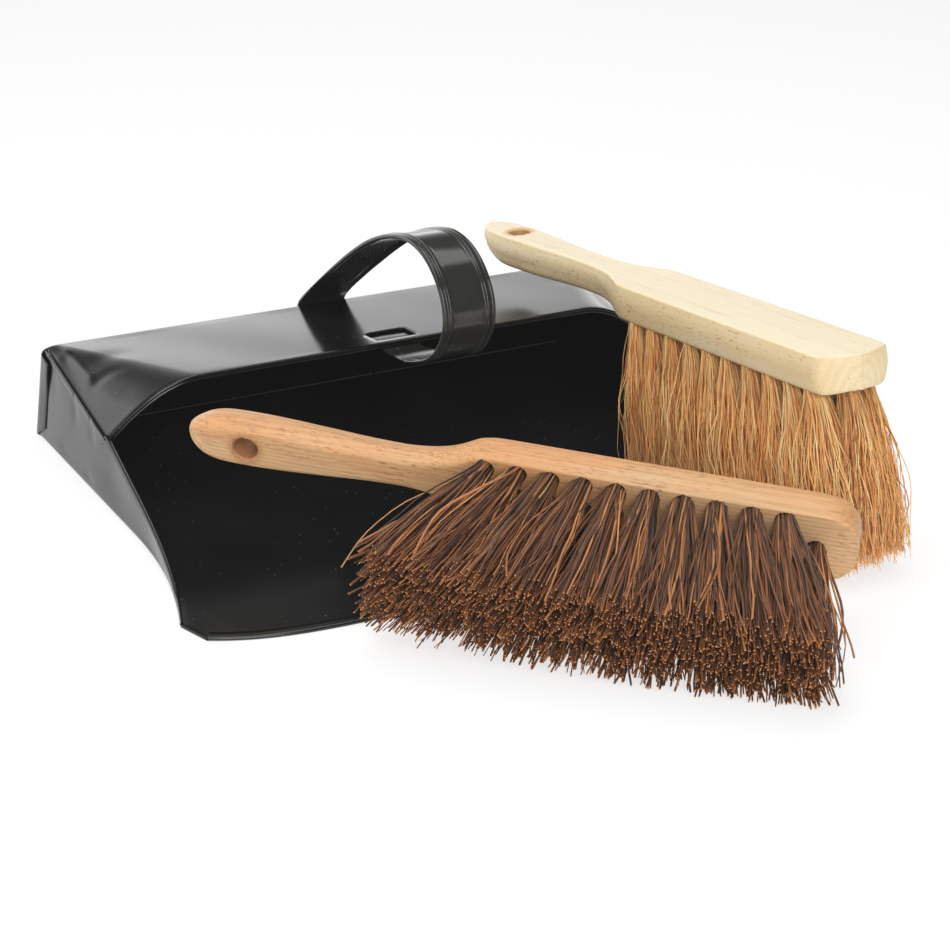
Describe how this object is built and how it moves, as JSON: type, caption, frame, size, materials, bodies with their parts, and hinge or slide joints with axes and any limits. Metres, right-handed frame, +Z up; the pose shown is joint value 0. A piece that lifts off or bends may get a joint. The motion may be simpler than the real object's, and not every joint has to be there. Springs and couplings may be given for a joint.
{
  "type": "dust pan and brush set",
  "caption": "Hooded sheet steel dust pan with a looped strap handle, a soft wooden hand brush standing in it and a stiff wooden hand brush lying in front of it.",
  "frame": {"origin": "on the floor, at the middle of the pan's flat base", "axes": "+Z up; +X to the right along the pan's back wall, seen from its mouth; +Y towards the pan's back wall, so the mouth faces -Y"},
  "size_m": [0.335, 0.4103, 0.1203],
  "materials": {
    "black_paint": "gloss",
    "pale_wood": "sanded, unvarnished",
    "tan_wood": "sanded, unvarnished",
    "coco_fibre": "natural fibre",
    "bassine_fibre": "natural fibre"
  },
  "bodies": {
    "dustpan": {"pan_tray": "black_paint", "hood_and_back": "black_paint", "handle_strap": "black_paint"},
    "coco_brush": {"coco_block": "pale_wood", "coco_tuft_row_a": "coco_fibre", "coco_tuft_row_b": "coco_fibre", "coco_tuft_row_c": "coco_fibre"},
    "bassine_brush": {"bassine_block": "tan_wood", "bassine_tuft_a_01": "bassine_fibre", "bassine_tuft_a_02": "bassine_fibre", "bassine_tuft_a_03": "bassine_fibre", "bassine_tuft_a_04": "bassine_fibre", "bassine_tuft_a_05": "bassine_fibre", "bassine_tuft_a_06": "bassine_fibre", "bassine_tuft_a_07": "bassine_fibre", "bassine_tuft_a_08": "bassine_fibre", "bassine_tuft_a_09": "bassine_fibre", "bassine_tuft_a_10": "bassine_fibre", "bassine_tuft_b_01": "bassine_fibre", "bassine_tuft_b_02": "bassine_fibre", "bassine_tuft_b_03": "bassine_fibre", "bassine_tuft_b_04": "bassine_fibre", "bassine_tuft_b_05": "bassine_fibre", "bassine_tuft_b_06": "bassine_fibre", "bassine_tuft_b_07": "bassine_fibre", "bassine_tuft_b_08": "bassine_fibre", "bassine_tuft_b_09": "bassine_fibre", "bassine_tuft_b_10": "bassine_fibre", "bassine_tuft_b_11": "bassine_fibre", "bassine_tuft_c_01": "bassine_fibre", "bassine_tuft_c_02": "bassine_fibre", "bassine_tuft_c_03": "bassine_fibre", "bassine_tuft_c_04": "bassine_fibre", "bassine_tuft_c_05": "bassine_fibre", "bassine_tuft_c_06": "bassine_fibre", "bassine_tuft_c_07": "bassine_fibre", "bassine_tuft_c_08": "bassine_fibre", "bassine_tuft_c_09": "bassine_fibre", "bassine_tuft_c_10": "bassine_fibre"}
  },
  "joints": [
    {"name": "coco_brush_lift", "type": "slide", "parent": "dustpan", "child": "coco_brush", "axis": [0, 0, 1], "range_m": [0, 0.13]},
    {"name": "bassine_brush_lift", "type": "slide", "parent": "dustpan", "child": "bassine_brush", "axis": [0, 0, 1], "range_m": [0, 0.13]}
  ]
}
